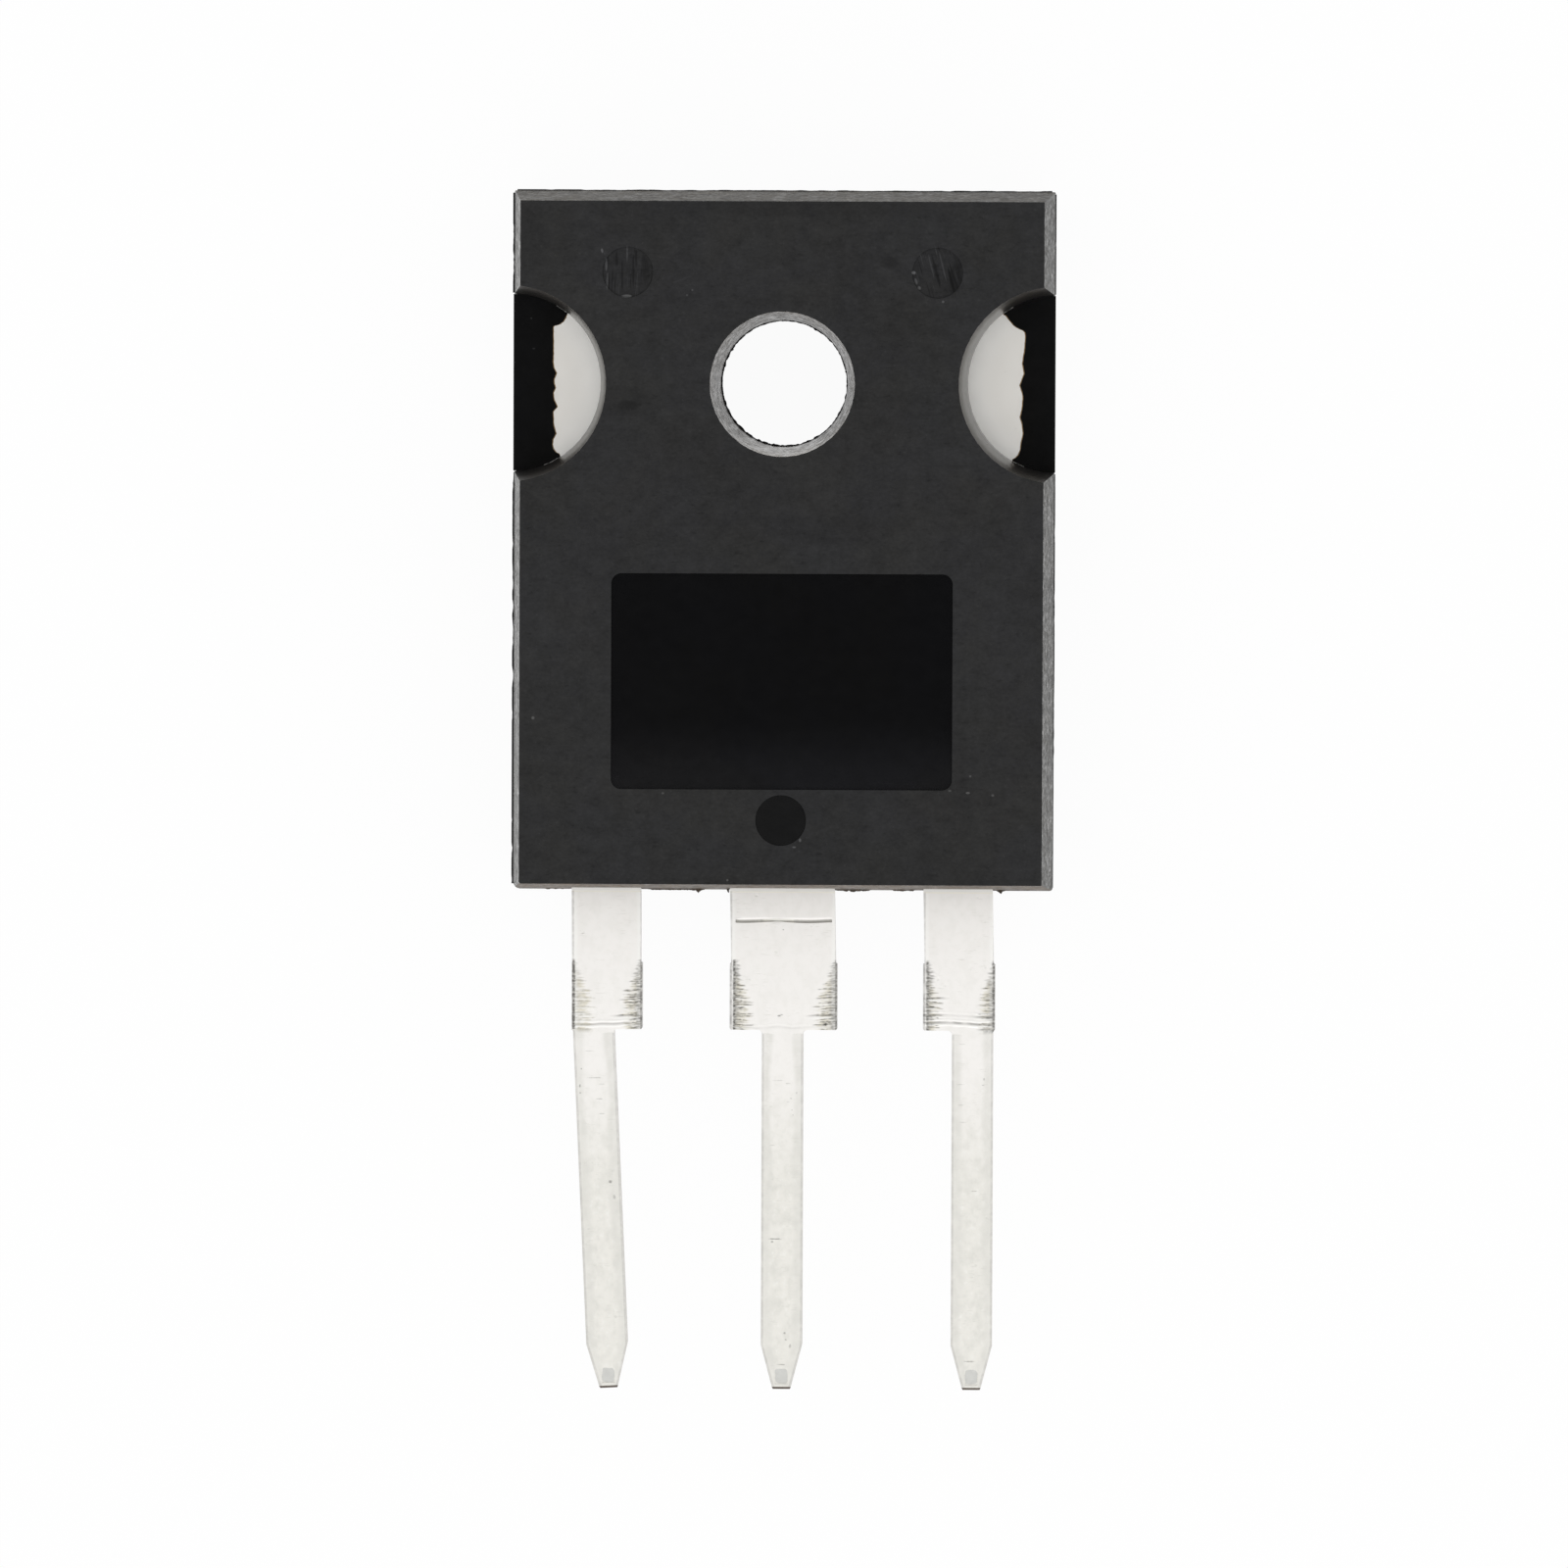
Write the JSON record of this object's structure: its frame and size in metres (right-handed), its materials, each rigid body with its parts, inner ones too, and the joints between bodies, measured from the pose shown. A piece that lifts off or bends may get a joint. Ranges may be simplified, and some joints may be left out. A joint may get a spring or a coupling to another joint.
{
  "type": "power transistor",
  "caption": "Power transistor in a flat moulded package with a screw hole, side notches that show its tab, and a row of flat straight leads.",
  "frame": {"origin": "on the axis of the mounting hole, in the plane of the back, which is the face that seats on a heat sink", "axes": "+Z along the mounting hole, out of the front face; +Y along the body, away from the leads; +X to the right as the front is seen with the leads pointing down"},
  "size_m": [0.0158, 0.0348, 0.005],
  "materials": {
    "moulding": "matt black epoxy moulding compound",
    "tinned_tab": "tin-plated copper, satin",
    "tinned_lead": "matt tin-plated copper",
    "silicon": "metallised silicon",
    "solder": "soft solder",
    "bond_wire": "bare aluminium"
  },
  "bodies": {
    "root": {"mould_body": "moulding", "drain_tab": "tinned_tab", "gate_lead": "tinned_lead", "source_lead": "tinned_lead", "silicon_die": "silicon", "die_solder": "solder", "gate_wire": "bond_wire", "source_wire_1": "bond_wire", "source_wire_2": "bond_wire"}
  },
  "joints": []
}
